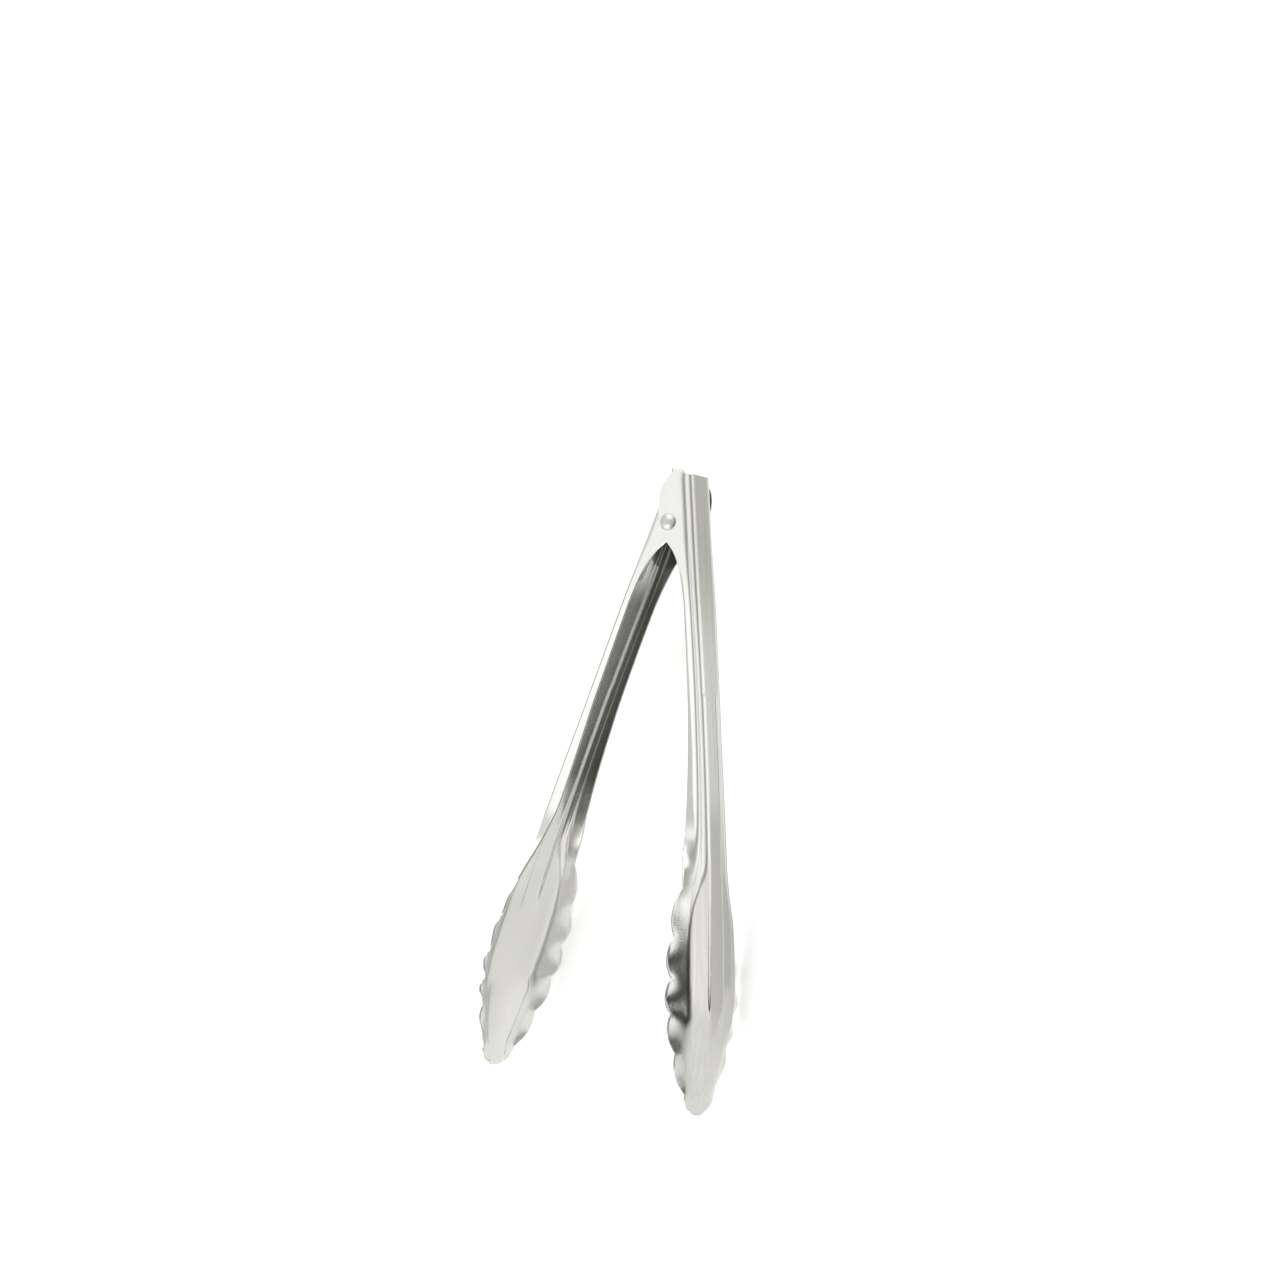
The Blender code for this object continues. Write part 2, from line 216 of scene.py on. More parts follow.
def half_section(q, inner, step=1.0):
    """The outer surface from the middle of the back to one free edge: (share, u, z) points.

    share is 0 to 1/9 over the panel, then to 2/9 over the riser, 3/9 over the ledge,
    6/9 over the corner and 1 over the wing.
    """
    cap = cap_factor(q)
    spine = along(SPINE, q)
    drop = along(SHOULDER_DROP, q)
    shoulder = along(SHOULDER_Z, q) * cap
    edge_z = max(along(WING_EDGE_Z, q) * cap, shoulder) if q > WING_EDGE_Z[0][0] else shoulder
    edge_u = edge_depth(q, inner)
    bowl = smoothstep(BOWL_START, BOWL_START + BOWL_LENGTH, q)
    shoulder += (BOWL_SHOULDER * edge_z - shoulder) * bowl
    drop += (BOWL_SHOULDER ** 2 * (spine - edge_u) - drop) * bowl
    panel = min(along(PANEL_HALF, q), PANEL_OF_SHOULDER * shoulder)
    riser = min(RISER, RISER_OF_SHOULDER * shoulder)
    height = along(PANEL_HEIGHT, q) * step

    corner = (spine - drop, shoulder)
    wing = Vector((edge_u - corner[0], edge_z - corner[1]))
    length = wing.length
    wing.normalize()
    outward = Vector((wing.y, -wing.x))
    setback = CORNER + (SCOOP_CORNER - CORNER) * smoothstep(WING_START, WING_FORMED, q)
    ear_side = setback + EAR_ROUNDING * (1 - smoothstep(*EAR_ROUNDING_FADES, q))
    setback = min(setback, CORNER_OF_WING * length, CORNER_OF_SHOULDER * shoulder)
    ear_side = min(ear_side, EAR_CORNER_OF_WING * length)
    phase = lobe_phase(q)
    lobe = math.sin(math.pi * phase) if phase else 0.0
    wave = math.sin(2 * math.pi * phase) if phase else 0.0
    wave *= smoothstep(NOTCHES[0], NOTCHES[2], q)
    reach = length + LOBE_HEIGHT * lobe ** LOBE_ROUNDNESS

    def back(z):
        return spine - drop * (z / shoulder) ** 2

    sag = WING_SAG * smoothstep(WING_START, WING_FORMED, q) * (1 - bowl)
    crown = LEDGE_CROWN * smoothstep(*CROWN_STARTS, q) * (1 - smoothstep(*CROWN_ENDS, q))
    spread = RISER_BLEND * riser
    low, high = panel - spread, panel + riser + spread
    ledge_z = shoulder - setback
    points = []
    for k in range(PANEL_COLUMNS + 1):
        z = low * k / PANEL_COLUMNS
        points.append((k / PANEL_COLUMNS / 9, back(z) + height, z))
    for k in range(1, RISER_COLUMNS + 1):
        t = k / RISER_COLUMNS
        z = low + (high - low) * t
        points.append(((1 + t) / 9, back(z) + height * (1 - smoothstep(0, 1, t)), z))
    for k in range(1, LEDGE_COLUMNS + 1):
        t = k / LEDGE_COLUMNS
        z = high + (ledge_z - high) * t
        points.append(((2 + t) / 9, back(z) + crown * math.sin(math.pi * t) ** 2, z))
    ledge_end = (back(ledge_z), ledge_z)
    wing_start = (corner[0] + wing.x * ear_side, corner[1] + wing.y * ear_side)
    for k in range(1, CORNER_COLUMNS + 1):
        t = k / CORNER_COLUMNS
        u, z = ((1 - t) ** 2 * a + 2 * t * (1 - t) * b + t ** 2 * c
                for a, b, c in zip(ledge_end, corner, wing_start))
        points.append(((3 + 3 * t) / 9, u, z))
    for k in range(1, WING_COLUMNS + 1):
        t = k / WING_COLUMNS
        distance = ear_side + (reach - ear_side) * t
        cup = LOBE_WAVE * wave * t ** 2 - sag * 4 * t * (1 - t)
        points.append(((6 + 3 * t) / 9, corner[0] + wing.x * distance + outward.x * cup,
                       corner[1] + wing.y * distance + outward.y * cup))
    return points


def stagger_at(q):
    marks = ((WING_START, 0.0), *zip(NOTCHES, STAGGER), (TIP, 0.0))
    for (q0, a), (q1, b) in zip(marks, marks[1:]):
        if q0 <= q <= q1:
            return a + (b - a) * (q - q0) / (q1 - q0)
    return 0.0


def arm_rows():
    """The q of each row of points, with a row at every notch."""
    rows = []
    lobes = ((start, end, LOBE_SPACING) for start, end in zip(NOTCHES, NOTCHES[1:]))
    for start, end, spacing in (*ROW_RUNS, *lobes):
        count = max(1, round((end - start) / spacing))
        rows.extend(start + (end - start) * k / count for k in range(count))
    rows += [NOTCHES[-1] + CAP_LENGTH * math.sin(math.radians(a)) for a in CAP_ANGLES]
    return rows


def row_points(q, last, step=1.0):
    """One row of the arm's outer surface: (side * share, point) pairs, outer ear's side first."""
    points = []
    for side in (1, -1):
        half = half_section(q, side < 0, step)
        widest = half[-1][2]
        for k, (share, u, z) in enumerate(half):
            if side < 0 and k == 0:
                continue
            tilt = 1 - WEB_TILT * (1 - side * min(2 * share, 1))
            web_end = (WEB_DROP * tilt * max(1 - (q - EAR_TOP) / WEB_DROP_LENGTH, 0)
                       * (1 - smoothstep(*WEB_DROP_SHARES, share)))
            s = q + web_end - side * stagger_at(q) * smoothstep(*STAGGER_SHARES, share)
            if last:
                s += (TIP - q) * (1 - (z / widest) ** 2)
            points.append((side * share, (u, -s, side * z + OFFSET)))
    points.sort(key=lambda item: -item[0])
    return points


def arm_arrays():
    """The outer points, the points that the inner skin is offset from, the shares and the q's."""
    rows = arm_rows()
    places, under, shares = [], [], []
    for q in rows:
        row = row_points(q, q == rows[-1])
        places.append([p for _, p in row])
        shares.append([s for s, _ in row])
        softened = row_points(q, q == rows[-1], 1 - smoothstep(*STEP_SOFTENS_INSIDE, q))
        under.append([p for _, p in softened])
    return np.array(places), np.array(under), np.array(shares), np.array(rows)


def unit(v):
    return v / np.maximum(np.linalg.norm(v, axis=-1, keepdims=True), 1e-9)


def grid_normals(points):
    down = np.gradient(points, axis=0)
    over = np.gradient(points, axis=1)
    normals = unit(np.cross(over, down))
    if normals[HANDLE_ROW, points.shape[1] // 2, 0] < 0:
        normals = -normals
    return normals


def arm_mesh():
    """The whole sheet: outer and inner skins, joined by a rounded rim."""
    outer, under, shares, rows = arm_arrays()
    normals = grid_normals(under)
    flat = smooth_array(*FLAT_BACK, np.abs(shares))[..., None]
    straight = unit(normals * (1 - flat) + np.array((1.0, 0, 0)) * flat)
    inner = under - straight * SHEET
    count, width = outer.shape[:2]

    verts = [*outer.reshape(-1, 3), *inner.reshape(-1, 3)]
    finish = []
    across = np.abs(shares).reshape(-1)
    q_all = np.repeat(rows, width)
    for skin in (0.0, 1.0):
        finish += [(a, q, skin) for a, q in zip(across, q_all)]
    faces = []
    base = count * width
    for i in range(count - 1):
        for j in range(width - 1):
            a, b = i * width + j, i * width + j + 1
            c, d = (i + 1) * width + j + 1, (i + 1) * width + j
            faces.append((a, b, c, d))
            faces.append((base + d, base + c, base + b, base + a))

    loop = [(0, j) for j in range(width - 1)]
    loop += [(i, width - 1) for i in range(count - 1)]
    loop += [(count - 1, j) for j in range(width - 1, 0, -1)]
    loop += [(i, 0) for i in range(count - 1, 0, -1)]
    ring = np.array([outer[i, j] for i, j in loop])
    ring_in = np.array([inner[i, j] for i, j in loop])
    tangent = unit(np.roll(ring, -1, 0) - np.roll(ring, 1, 0))
    thick = ring - ring_in
    beyond = unit(np.cross(tangent, thick))
    centre_of_sheet = outer[count // 2, width // 2]
    middle = (ring + ring_in) / 2
    if np.dot(beyond[len(loop) // 3], ring[len(loop) // 3] - centre_of_sheet) < 0:
        beyond = -beyond
    start = len(verts)
    for k in range(1, RIM_STEPS):
        angle = math.pi * k / RIM_STEPS
        verts += list(middle + thick / 2 * math.cos(angle)
                      + beyond * SHEET / 2 * RIM_PROUD * math.sin(angle))
        finish += [(abs(shares[i, j]), rows[i], 0.5) for i, j in loop]
    total = len(loop)

    def ring_index(level, n):
        i, j = loop[n % total]
        if level == 0:
            return i * width + j
        if level == RIM_STEPS:
            return base + i * width + j
        return start + (level - 1) * total + n % total

    for level in range(RIM_STEPS):
        for n in range(total):
            faces.append((ring_index(level, n), ring_index(level + 1, n),
                          ring_index(level + 1, n + 1), ring_index(level, n + 1)))

    mesh = bpy.data.meshes.new("arm_sheet")
    mesh.from_pydata([tuple(np.array(v) * MM) for v in verts], [], faces)
    mark = mesh.attributes.new("finish", "FLOAT_VECTOR", "POINT")
    mark.data.foreach_set("vector", np.array(finish, np.float32).reshape(-1))
    place = mesh.attributes.new("place", "FLOAT_VECTOR", "POINT")
    place.data.foreach_set("vector", (np.array(verts, np.float32) * MM).reshape(-1))
    bm = bmesh.new()
    bm.from_mesh(mesh)
    bmesh.ops.recalc_face_normals(bm, faces=bm.faces)
    bm.to_mesh(mesh)
    bm.free()
    mesh.shade_smooth()
    return mesh


def smooth_array(low, high, values):
    t = np.clip((values - low) / (high - low), 0, 1)
    return t * t * (3 - 2 * t)


def drill(arm, cutter):
    hole = arm.modifiers.new("rivet_hole", "BOOLEAN")
    hole.operation = "DIFFERENCE"
    hole.solver = "EXACT"
    hole.object = cutter
    bpy.context.view_layer.update()
    graph = bpy.context.evaluated_depsgraph_get()
    drilled = bpy.data.meshes.new_from_object(arm.evaluated_get(graph))
    arm.modifiers.clear()
    arm.data = drilled
    drilled.shade_smooth()


def make_cutter():
    bm = bmesh.new()
    bmesh.ops.create_cone(bm, cap_ends=True, segments=64, depth=4 * HALF_WIDTH * MM,
                          radius1=HOLE_RADIUS * MM, radius2=HOLE_RADIUS * MM)
    cutter = link("rivet_hole", flat_mesh("rivet_hole", bm))
    cutter.location = PIVOT
    return cutter


def link(name, data):
    obj = bpy.data.objects.new(name, data)
    bpy.context.scene.collection.objects.link(obj)
    return obj


def flat_mesh(name, bm):
    mesh = bpy.data.meshes.new(name)
    bm.to_mesh(mesh)
    bm.free()
    return mesh


def smooth_mesh(name, bm):
    bmesh.ops.recalc_face_normals(bm, faces=bm.faces)
    mesh = flat_mesh(name, bm)
    mesh.shade_smooth()
    return mesh


def square(name, size, material):
    bm = bmesh.new()
    bmesh.ops.create_grid(bm, x_segments=1, y_segments=1, size=size)
    mesh = flat_mesh(name, bm)
    mesh.materials.append(material)
    return link(name, mesh)


# ---------------------------------------------------------------- materials

class Nodes:
    """Short calls for building a material's node tree."""

    def __init__(self, name):
        self.material = bpy.data.materials.new(name)
        self.material.use_nodes = True
        self.tree = self.material.node_tree
        self.shader = self.tree.nodes["Principled BSDF"]
        self.place = self.node("ShaderNodeTexCoord").outputs["Object"]

    def node(self, kind, **settings):
        made = self.tree.nodes.new(kind)
        for key, value in settings.items():
            setattr(made, key, value)
        return made

    def put(self, socket, value):
        if isinstance(value, bpy.types.NodeSocket):
            self.tree.links.new(value, socket)
        else:
            socket.default_value = value

    def math(self, operation, a, b=0.0, c=0.0):
        made = self.node("ShaderNodeMath", operation=operation)
        self.put(made.inputs[0], a)
        self.put(made.inputs[1], b)
        self.put(made.inputs[2], c)
        return made.outputs[0]

    def ramp(self, value, low, high, out_low=0.0, out_high=1.0):
        made = self.node("ShaderNodeMapRange", interpolation_type="SMOOTHSTEP")
        self.put(made.inputs["Value"], value)
        self.put(made.inputs["From Min"], low)
        self.put(made.inputs["From Max"], high)
        self.put(made.inputs["To Min"], out_low)
        self.put(made.inputs["To Max"], out_high)
        return made.outputs["Result"]

    def noise(self, cells, detail, roughness=0.5):
        """Noise with this many cells per metre along X, Y and Z."""
        mapping = self.node("ShaderNodeMapping")
        self.put(mapping.inputs["Vector"], self.place)
        self.put(mapping.inputs["Scale"], cells)
        made = self.node("ShaderNodeTexNoise")
        self.put(made.inputs["Vector"], mapping.outputs["Vector"])
        self.put(made.inputs["Scale"], 1.0)
        self.put(made.inputs["Detail"], detail)
        self.put(made.inputs["Roughness"], roughness)
        return made.outputs["Fac"]

    def mix(self, factor, a, b, kind="RGBA"):
        made = self.node("ShaderNodeMix", data_type=kind)
        self.put(made.inputs["Factor"], factor)
        self.put(made.inputs["A"], a)
        self.put(made.inputs["B"], b)
        return made.outputs["Result"]

    def blend(self, factor, a, b):
        return self.mix(factor, a, b, "FLOAT")

    def less(self, whole, part):
        return self.math("SUBTRACT", whole, part)

    def split(self, vector):
        made = self.node("ShaderNodeSeparateXYZ")
        self.put(made.inputs[0], vector)
        return made.outputs

    def times(self, first, *others):
        for other in others:
            first = self.math("MULTIPLY", first, other)
        return first

    def band(self, value, low, high, edge):
        """1 between low and high, fading to 0 over the edge's width beyond them."""
        return self.times(self.ramp(value, low - edge, low), self.ramp(value, high + edge, high))

    def bump(self, height, strength, distance):
        made = self.node("ShaderNodeBump")
        self.put(made.inputs["Height"], height)
        self.put(made.inputs["Strength"], strength)
        self.put(made.inputs["Distance"], distance)
        return made


def arm_steel():
    """Pressed stainless steel: brushed along the web, bright wings, a rougher grainy recess inside, with
    painted highlights, reflections and shade on its steps, bends, rims and recesses.
    """
    n = Nodes("arm_steel")
    # Where on the arm: share of the section, q, and skin (0 outer, 0.5 rim, 1 inner).
    mark = n.node("ShaderNodeAttribute", attribute_name="finish")
    across, q, skin = n.split(mark.outputs["Vector"])
    n.place = n.node("ShaderNodeAttribute", attribute_name="place").outputs["Vector"]
    outer_side = n.ramp(n.split(n.place)[2], 0.0, 0.001)
    inner_side = n.less(1.0, outer_side)

    inside = n.ramp(skin, 0.6, 0.9)
    outside = n.ramp(skin, 0.1, 0.02)
    rim = n.band(skin, 0.12, 0.88, 0.1)
    recess = n.ramp(across, 0.15, 0.12)
    handle = n.band(q, 33.0, 98.0, 16.0)
    lower_step = n.times(inside, outer_side, n.band(across, 0.14, 0.19, 0.02))
    # Where the recess is rougher and darkened with painted shade.
    dull_and_shaded = n.times(inside, handle, n.ramp(n.less(recess, lower_step), -1.0, 1.0, 0.1, 1.0))
    web = n.ramp(across, 0.32, 0.26)
    scoop = n.ramp(q, 120.0, 150.0)
    back = n.math("MAXIMUM", web, n.times(scoop, n.ramp(across, 0.66, 0.56)))
    back = n.math("MAXIMUM", back, n.ramp(q, 179.0, 184.0))

    lines = n.noise((6000.0, 60.0, 6000.0), 3.0, 0.6)
    streaks = n.noise((900.0, 18.0, 900.0), 2.0, 0.5)
    clouds = n.noise((70.0, 40.0, 70.0), 3.0, 0.55)
    grain = n.noise((1500.0, 1500.0, 1500.0), 3.0, 0.7)

    vary = n.ramp(streaks, 0.3, 0.7)
    # The ears and the web's brushed tone are darker near the hinge: painted shade.
    ears = n.mix(vary, (0.60, 0.595, 0.58, 1), (0.615, 0.61, 0.595, 1))
    flanges = n.mix(vary, (0.67, 0.665, 0.65, 1), (0.71, 0.705, 0.69, 1))
    polish = n.mix(n.ramp(q, 15.0, 45.0), ears, flanges)
    shaded_near_hinge = n.mix(vary, (0.31, 0.31, 0.285, 1), (0.35, 0.35, 0.325, 1))
    further = n.mix(vary, (0.45, 0.445, 0.425, 1), (0.50, 0.495, 0.475, 1))
    brushed = n.mix(n.ramp(q, 8.0, 60.0), shaded_near_hinge, further)
    brushed = n.mix(inside, brushed, (0.60, 0.595, 0.575, 1))
    colour = n.mix(back, polish, brushed)

    # The outside: a painted highlight on the crest of the panel's step, darker near the hinge, a warm
    # painted highlight on the strip beside it on the scoop, and painted shade on the panel's middle and on
    # the neck where the wing begins.
    crest_highlight = n.times(n.band(across, 0.135, 0.185, 0.02), outside, outer_side, n.ramp(q, 182.0, 168.0))
    crest_highlight_colour = n.mix(n.ramp(q, 5.0, 60.0), (0.53, 0.525, 0.51, 1), (0.66, 0.655, 0.64, 1))
    colour = n.mix(crest_highlight, colour, crest_highlight_colour)
    # A warm painted highlight on the strip between the panel and the wing's pressed line.
    seam = n.ramp(q, 121.0, 156.0, 0.225, 0.665)
    beside = n.less(across, seam)
    within = n.times(outside, outer_side, n.ramp(across, 0.14, 0.17), n.ramp(beside, -0.01, -0.06))
    within = n.times(within, n.band(q, 130.0, 170.0, 10.0))
    warm_highlight_colour = n.mix(vary, (0.52, 0.51, 0.48, 1), (0.60, 0.59, 0.56, 1))
    colour = n.mix(within, colour, warm_highlight_colour)
    # Painted shade down the panel's middle on the scoop.
    middle = n.times(outside, n.ramp(across, 0.14, 0.11), n.band(q, 115.0, 172.0, 20.0))
    colour = n.mix(middle, colour, (0.37, 0.365, 0.345, 1))
    # Painted shade on the neck where the wing begins.
    neck_shade = n.times(outside, outer_side, n.ramp(across, 0.5, 0.9), n.band(q, 126.0, 138.0, 5.0))
    colour = n.mix(neck_shade, colour, (0.42, 0.415, 0.39, 1))
    # A painted shade line at the foot of the wing, on both skins.
    foot_shade_width = n.ramp(q, 124.0, 150.0, 0.042, 0.07)
    foot_shade_line = n.ramp(n.math("ABSOLUTE", beside), foot_shade_width, 0.01)
    foot_shade_line = n.times(foot_shade_line, outer_side, n.ramp(q, 184.0, 178.0), n.ramp(inside, 0.0, 1.0, 0.75, 0.4))
    foot_shade_line = n.times(foot_shade_line, n.ramp(q, 110.0, 135.0, 0.7, 1.0))
    colour = n.mix(foot_shade_line, colour, (0.14, 0.135, 0.12, 1))
    # Painted shade along the corner's bend on the handle.
    bend_shade = n.times(n.band(across, 0.36, 0.44, 0.03), outside, outer_side, n.band(q, 25.0, 115.0, 20.0))
    colour = n.mix(n.times(bend_shade, 0.7), colour, (0.40, 0.395, 0.38, 1))
    # The other side of the outside, where the panel is narrow: painted shade on the far riser and the far
    # bend, and a painted reflection on the far ledge, light near the hinge and dark further on.
    narrow = n.times(outside, inner_side, n.band(q, 66.0, 165.0, 6.0))
    far_riser_shade = n.times(narrow, n.band(across, 0.10, 0.14, 0.012))
    far_riser_shade_colour = n.mix(n.ramp(q, 95.0, 125.0), (0.33, 0.325, 0.31, 1), (0.52, 0.515, 0.50, 1))
    colour = n.mix(far_riser_shade, colour, far_riser_shade_colour)
    far_ledge_reflection = n.times(narrow, n.band(across, 0.17, 0.30, 0.02))
    far_reflection_colour = n.mix(n.ramp(q, 95.0, 140.0), (0.60, 0.595, 0.58, 1), (0.38, 0.375, 0.36, 1))
    colour = n.mix(far_ledge_reflection, colour, far_reflection_colour)
    far_bend_shade = n.times(outside, inner_side, n.band(across, 0.35, 0.60, 0.02), n.band(q, 30.0, 150.0, 20.0))
    colour = n.mix(far_bend_shade, colour, (0.40, 0.395, 0.38, 1))
    # Painted shade along the near flange's edge.
    near_edge = n.math("MULTIPLY_ADD", n.ramp(q, 50.0, 90.0), 0.12, across)
    near_edge = n.math("MULTIPLY_ADD", n.ramp(q, 95.0, 120.0), 0.10, near_edge)
    near_edge = n.times(outside, outer_side, n.ramp(near_edge, 0.86, 0.93), n.band(q, 25.0, 108.0, 9.0))
    colour = n.mix(near_edge, colour, (0.40, 0.395, 0.38, 1))
    # Painted shade on the inside of one flange as far as the scoop, and on the wall where the scoop opens.
    lower_side = n.times(inside, outer_side)
    deep_shade = n.times(lower_side, n.ramp(across, 0.23, 0.30), n.ramp(q, 120.0, 94.0))
    deep_shade_colour = n.mix(n.ramp(q, 20.0, 55.0), (0.30, 0.295, 0.275, 1), (0.46, 0.455, 0.43, 1))
    colour = n.mix(deep_shade, colour, deep_shade_colour)
    throat_wall_shade = n.times(lower_side, n.ramp(across, 0.60, 0.70), n.band(q, 112.0, 130.0, 8.0))
    colour = n.mix(throat_wall_shade, colour, (0.36, 0.355, 0.33, 1))
    # A painted highlight on the rim near the hinge and painted shade on the rim further on.
    rim_highlight_and_shade = n.mix(n.ramp(q, 14.0, 22.0), (0.85, 0.845, 0.83, 1), (0.42, 0.415, 0.40, 1))
    colour = n.mix(rim, colour, rim_highlight_and_shade)

    # Painted shade with a grainy texture in the recess behind the panel, and painted shade at the inside's
    # end at the hinge.
    recess_shade_grain = n.mix(n.ramp(grain, 0.38, 0.62), (0.15, 0.155, 0.145, 1), (0.225, 0.23, 0.215, 1))
    colour = n.mix(dull_and_shaded, colour, recess_shade_grain)
    throat_end = n.math("MULTIPLY_ADD", n.split(n.place)[2], -410.0, q)
    throat = n.times(inside, n.ramp(throat_end, 15.6, 14.2), n.less(1.0, deep_shade))
    colour = n.mix(throat, colour, (0.20, 0.20, 0.185, 1))
    n.put(n.shader.inputs["Base Color"], colour)
    n.shader.inputs["Metallic"].default_value = 1.0

    # Roughness, then relief.
    polished = n.math("MULTIPLY_ADD", n.ramp(clouds, 0.3, 0.7), 0.06, 0.09)
    polished = n.math("MULTIPLY_ADD", inside, 0.12, polished)
    satin = n.math("MULTIPLY_ADD", lines, 0.16, 0.16)
    brushing_here = n.times(back, n.less(1.0, n.math("MAXIMUM", crest_highlight, far_ledge_reflection)))
    rough = n.blend(brushing_here, polished, satin)
    n.put(n.shader.inputs["Roughness"], n.blend(dull_and_shaded, rough, 0.36))

    brushing = n.bump(lines, 0.25, 0.00003)
    pressing = n.bump(clouds, 0.3, 0.00025)
    specks = n.bump(grain, n.ramp(q, 128.0, 150.0, 0.0, 0.4), 0.0001)
    n.put(brushing.inputs["Normal"], pressing.outputs["Normal"])
    n.put(specks.inputs["Normal"], brushing.outputs["Normal"])
    n.put(n.shader.inputs["Normal"], specks.outputs["Normal"])
    return n.material


def plain_steel(name, low, high, rough_low, rough_high, scale):
    n = Nodes(name)
    cloud = n.noise(scale, 3.0, 0.6)
    n.put(n.shader.inputs["Base Color"], n.mix(n.ramp(cloud, 0.3, 0.7), low, high))
    n.shader.inputs["Metallic"].default_value = 1.0
    n.put(n.shader.inputs["Roughness"], n.ramp(cloud, 0.3, 0.7, rough_low, rough_high))
    n.put(n.shader.inputs["Normal"], n.bump(cloud, 0.3, 0.00005).outputs["Normal"])
    return n.material


# ---------------------------------------------------------------- the arms

steel = arm_steel()
sheet = arm_mesh()
sheet.materials.append(steel)
cutter = make_cutter()
open_right = Matrix.Rotation(math.radians(HALF_OPENING), 4, "Z")
half_turn = Matrix.Rotation(math.pi, 4, "Y")
for name, turn, body, node in (("right_arm_sheet", open_right, "right_arm", "arm_right"),
                               ("left_arm_sheet", half_turn @ open_right, "left_arm", "arm_left")):
    arm = link(name, sheet)
    arm.matrix_world = Matrix.Translation(PIVOT) @ turn
    drill(arm, cutter)
    arm.data.transform(arm.matrix_world)
    arm.matrix_world = Matrix.Identity(4)
    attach(arm, body)
    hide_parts(node)
bpy.data.objects.remove(cutter)


# ---------------------------------------------------------------- rivet

def lathe(name, profile, steps):
    """A closed solid turned about Z from (r, z) points that start and end on the axis."""
    bm = bmesh.new()
    rings = []
    for r, z in profile:
        if r < 1e-9:
            rings.append([bm.verts.new((0, 0, z * MM))])
            continue
        rings.append([bm.verts.new((r * math.cos(2 * math.pi * k / steps) * MM,
                                    r * math.sin(2 * math.pi * k / steps) * MM, z * MM))
                      for k in range(steps)])
    for low, high in zip(rings, rings[1:]):
        for k in range(steps):
            corners = [low[k % len(low)], low[(k + 1) % len(low)],
                       high[(k + 1) % len(high)], high[k % len(high)]]
            bm.faces.new(list(dict.fromkeys(corners)))
    return smooth_mesh(name, bm)


def rivet_profile():
    face = HALF_WIDTH + OFFSET + 0.03
    profile = []
    for k in range(15):
        a = math.radians(90 - 90 * k / 14)
        profile.append((RIVET_HEAD_RADIUS * math.cos(a) if k else 0.0,
                        face + 0.25 + (RIVET_HEAD_HEIGHT + 0.02) * math.sin(a)))
    profile += [(RIVET_HEAD_RADIUS - 0.02, face + 0.12), (RIVET_HEAD_RADIUS - 0.1, face + 0.03),
                (RIVET_HEAD_RADIUS - 0.22, face), (RIVET_RADIUS + 0.1, face),
                (RIVET_RADIUS, face - 0.1), (RIVET_RADIUS, -face + 0.1), (RIVET_RADIUS + 0.1, -face),
                (PEEN_RADIUS - 0.2, -face), (PEEN_RADIUS - 0.05, -face - 0.08)]
    for k in range(10):
        a = math.radians(90 * k / 9)
        r = PEEN_RADIUS * math.cos(a)
        dent = 0.25 * math.exp(-(r / 0.9) ** 2)
        profile.append((r if k < 9 else 0.0, -face - 0.2 - (PEEN_HEIGHT - 0.1) * math.sin(a) + dent))
    return profile


rivet = link("hinge_rivet", lathe("hinge_rivet", rivet_profile(), 72))
rivet.data.materials.append(plain_steel("rivet_steel", (0.46, 0.455, 0.44, 1), (0.53, 0.525, 0.51, 1),
                                        0.50, 0.58, (900.0, 900.0, 900.0)))
rivet.location = PIVOT
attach(rivet, "right_arm")
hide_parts("pivot_rivet")


# ---------------------------------------------------------------- spring

def leg_tip_u():
    panel_inside = along(SPINE, LEG_REACH) + along(PANEL_HEIGHT, LEG_REACH) - SHEET
    return panel_inside - TOUCH_GAP - WIRE_RADIUS


def tangent_angle(side):
    distance = math.hypot(leg_tip_u(), LEG_REACH)
    direction = math.atan2(LEG_REACH, leg_tip_u()) - math.radians(HALF_OPENING)
    angle = direction - math.acos(COIL_RADIUS / distance)
    return -angle if side > 0 else math.pi + angle


def leg_points(side, coil_end):
    """A leg's straight run, from the coil's tangent point to its tip inside one arm's web."""
    tilt = math.radians(HALF_OPENING) * side
    tip = Matrix.Rotation(tilt, 3, "Z") @ Vector((side * leg_tip_u(), -LEG_REACH, 0))
    run = []
    for k in range(1, LEG_STEPS + 1):
        t = k / LEG_STEPS
        point = coil_end.lerp(Vector((tip.x, tip.y, 0)), t)
        point.z = coil_end.z + (math.copysign(LEG_END_Z, coil_end.z) - coil_end.z) * t
        run.append(point)
    return run


def spring_path():
    start = tangent_angle(1)
    end = tangent_angle(-1) + 2 * math.pi * int(COIL_TURNS)
    turns = (end - start) / (2 * math.pi)
    half_height = turns * COIL_PITCH / 2
    steps = int(turns * COIL_STEPS)
    coil = []
    for k in range(steps + 1):
        t = k / steps
        a = start + (end - start) * t
        coil.append(Vector((COIL_RADIUS * math.cos(a), COIL_RADIUS * math.sin(a),
                            half_height * (2 * t - 1))))
    return list(reversed(leg_points(1, coil[0]))) + coil + leg_points(-1, coil[-1])


